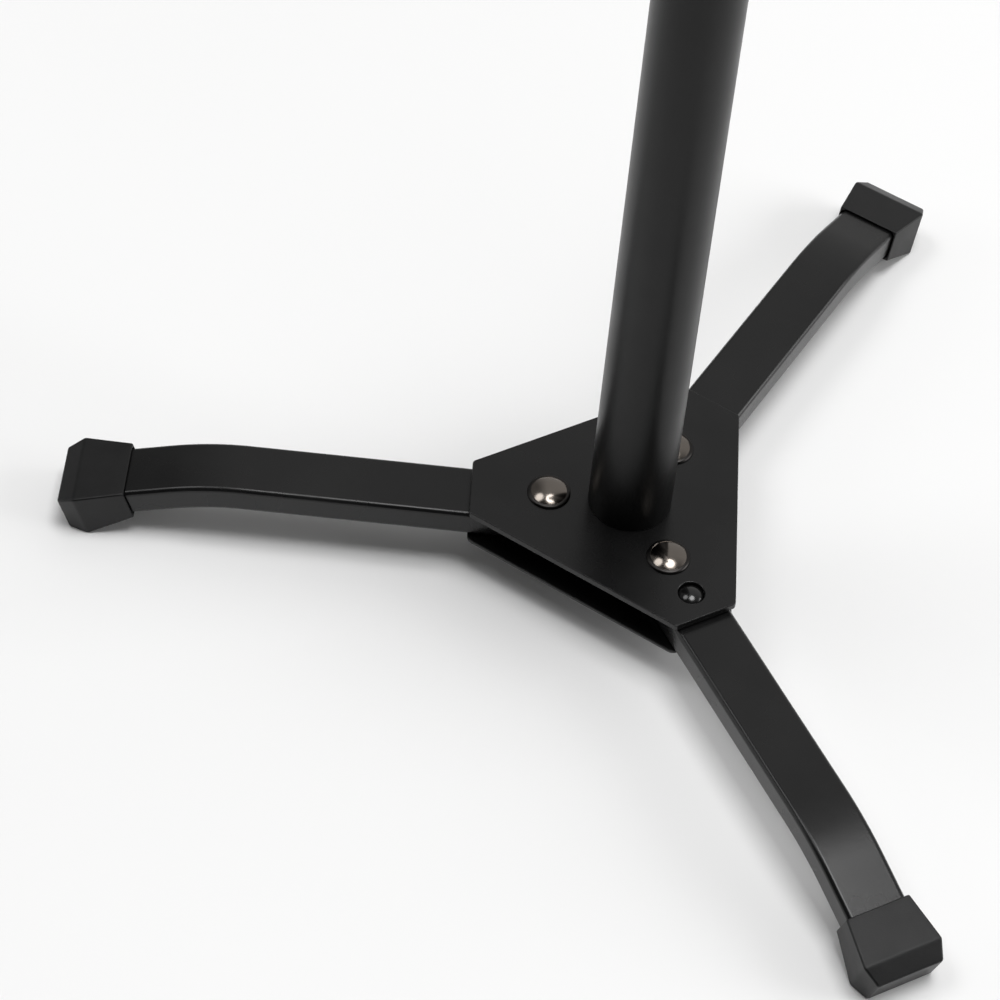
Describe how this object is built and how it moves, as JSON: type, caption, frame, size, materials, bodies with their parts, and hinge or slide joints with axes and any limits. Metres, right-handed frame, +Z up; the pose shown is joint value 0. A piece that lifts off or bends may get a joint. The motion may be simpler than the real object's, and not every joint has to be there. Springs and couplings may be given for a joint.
{
  "type": "trumpet stand",
  "caption": "Folding trumpet stand: a black tube post with a soft bell peg on a low tripod of bent legs that swing on rivets between two plates, locked by a spring button.",
  "frame": {"origin": "on the floor, on the post's axis", "axes": "+Z up along the post; -X towards the left leg; the front leg with the lock button points between +X and -Y"},
  "size_m": [0.2694, 0.3133, 0.376],
  "materials": {
    "black_powder_coat": "satin black powder coat",
    "black_rubber": "matte moulded rubber",
    "polished_nickel": "polished nickel plate",
    "zinc_steel": "zinc plated",
    "spring_steel": "bare spring steel",
    "white_nylon": "natural nylon",
    "black_gloss_button": "gloss black",
    "black_moulded_plastic": "fine moulded texture",
    "black_velour": "short velour pile"
  },
  "bodies": {
    "base": {"top_plate": "black_powder_coat", "bottom_plate": "black_powder_coat", "hub_spacer": "zinc_steel", "centre_bolt": "zinc_steel", "bolt_washer": "zinc_steel", "post_tube": "black_powder_coat", "post_threaded_plug": "zinc_steel", "back_leg_tube": "black_powder_coat", "back_foot": "black_rubber", "left_pivot_rivet": "polished_nickel", "front_pivot_rivet": "polished_nickel", "back_pivot_rivet": "polished_nickel", "left_friction_washer": "spring_steel", "front_friction_washer": "spring_steel", "back_friction_washer": "spring_steel", "left_nylon_washer": "white_nylon", "front_nylon_washer": "white_nylon", "back_nylon_washer": "white_nylon", "back_leg_fixing_rivet": "zinc_steel", "peg_plug": "black_moulded_plastic", "bell_rest_ring": "black_rubber", "bell_peg": "black_moulded_plastic", "peg_screw": "zinc_steel", "peg_sleeve": "black_velour", "peg_tip_cap": "black_rubber"},
    "front_leg": {"front_leg_tube": "black_powder_coat", "front_foot": "black_rubber", "button_spring": "spring_steel"},
    "left_leg": {"left_leg_tube": "black_powder_coat", "left_foot": "black_rubber"},
    "lock_button": {"lock_button": "black_gloss_button"}
  },
  "joints": [
    {"name": "front_leg_fold", "type": "hinge", "parent": "base", "child": "front_leg", "pos_m": [0.01232, -0.02135, 0.01935], "axis": [0, 0, 1], "range_deg": [0, 119.5], "deforming": ["lock_button"]},
    {"name": "left_leg_fold", "type": "hinge", "parent": "base", "child": "left_leg", "pos_m": [-0.02465, 0, 0.01935], "axis": [0, 0, 1], "range_deg": [-116.5, 1.7]},
    {"name": "lock_button_press", "type": "slide", "parent": "front_leg", "child": "lock_button", "axis": [0, 0, -1], "range_m": [0, 0.0034], "stiffness_N_per_m": 300, "deforming": ["button_spring"]}
  ]
}
